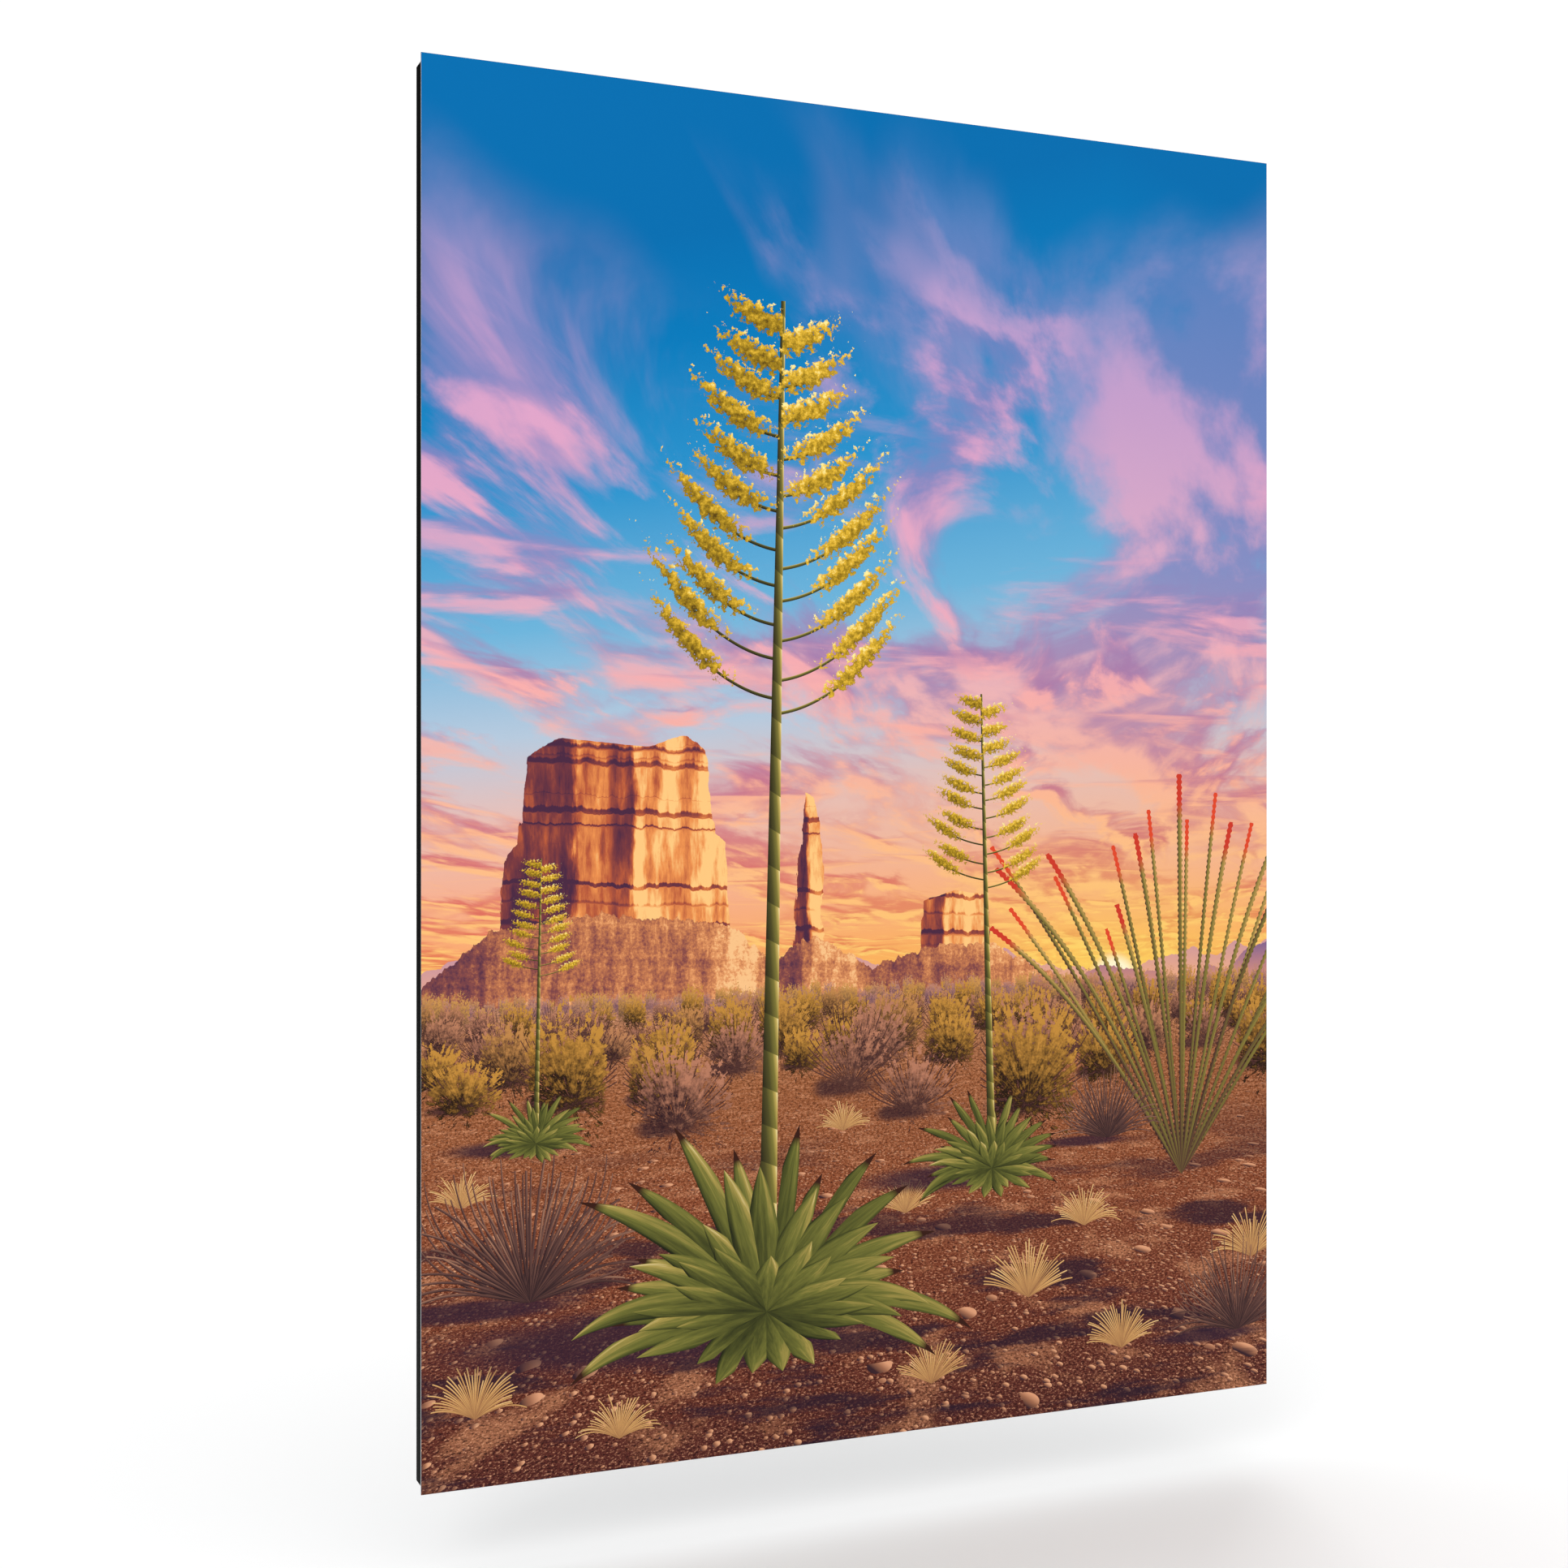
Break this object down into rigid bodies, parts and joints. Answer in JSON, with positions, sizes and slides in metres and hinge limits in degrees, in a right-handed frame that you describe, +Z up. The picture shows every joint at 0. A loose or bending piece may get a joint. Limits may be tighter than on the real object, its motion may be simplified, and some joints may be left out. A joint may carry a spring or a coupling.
{
  "type": "wall print panel",
  "caption": "Frameless wall picture: a thin metal sheet with a desert dusk print, float mounted on a black backing frame with keyhole hangers.",
  "frame": {"origin": "in the plane of the wall, at the centre of the cross brace, which is the centre of the panel", "axes": "+X to the viewer's right along the picture, +Y back into the wall, +Z up along the panel's long side"},
  "size_m": [0.7, 0.026, 1],
  "materials": {
    "sheet": "rolled aluminium, with the picture printed under a gloss coat on the front and the rear left bare",
    "backing": "fibreboard rails, sprayed matte black",
    "plate": "pressed steel, bright zinc plated",
    "screw": "turned steel, yellow zinc plated",
    "tape": "grey acrylic foam tape"
  },
  "bodies": {
    "root": {"print_sheet": "sheet", "tape_top": "tape", "tape_bottom": "tape", "tape_left": "tape", "tape_right": "tape", "tape_brace": "tape", "rail_top": "backing", "rail_bottom": "backing", "rail_left": "backing", "rail_right": "backing", "cross_brace": "backing", "corner_plate_top_left": "plate", "corner_plate_top_right": "plate", "corner_plate_bottom_left": "plate", "corner_plate_bottom_right": "plate", "brace_plate_left": "plate", "brace_plate_right": "plate", "hanger_plate_left": "plate", "hanger_plate_right": "plate", "corner_screw_top_left_1": "screw", "corner_screw_top_left_2": "screw", "corner_screw_top_left_3": "screw", "corner_screw_top_left_4": "screw", "corner_screw_top_right_1": "screw", "corner_screw_top_right_2": "screw", "corner_screw_top_right_3": "screw", "corner_screw_top_right_4": "screw", "corner_screw_bottom_left_1": "screw", "corner_screw_bottom_left_2": "screw", "corner_screw_bottom_left_3": "screw", "corner_screw_bottom_left_4": "screw", "corner_screw_bottom_right_1": "screw", "corner_screw_bottom_right_2": "screw", "corner_screw_bottom_right_3": "screw", "corner_screw_bottom_right_4": "screw", "brace_screw_left_1": "screw", "brace_screw_left_2": "screw", "brace_screw_left_3": "screw", "brace_screw_left_4": "screw", "brace_screw_right_1": "screw", "brace_screw_right_2": "screw", "brace_screw_right_3": "screw", "brace_screw_right_4": "screw", "hanger_screw_left_1": "screw", "hanger_screw_left_2": "screw", "hanger_screw_right_1": "screw", "hanger_screw_right_2": "screw"}
  },
  "joints": []
}
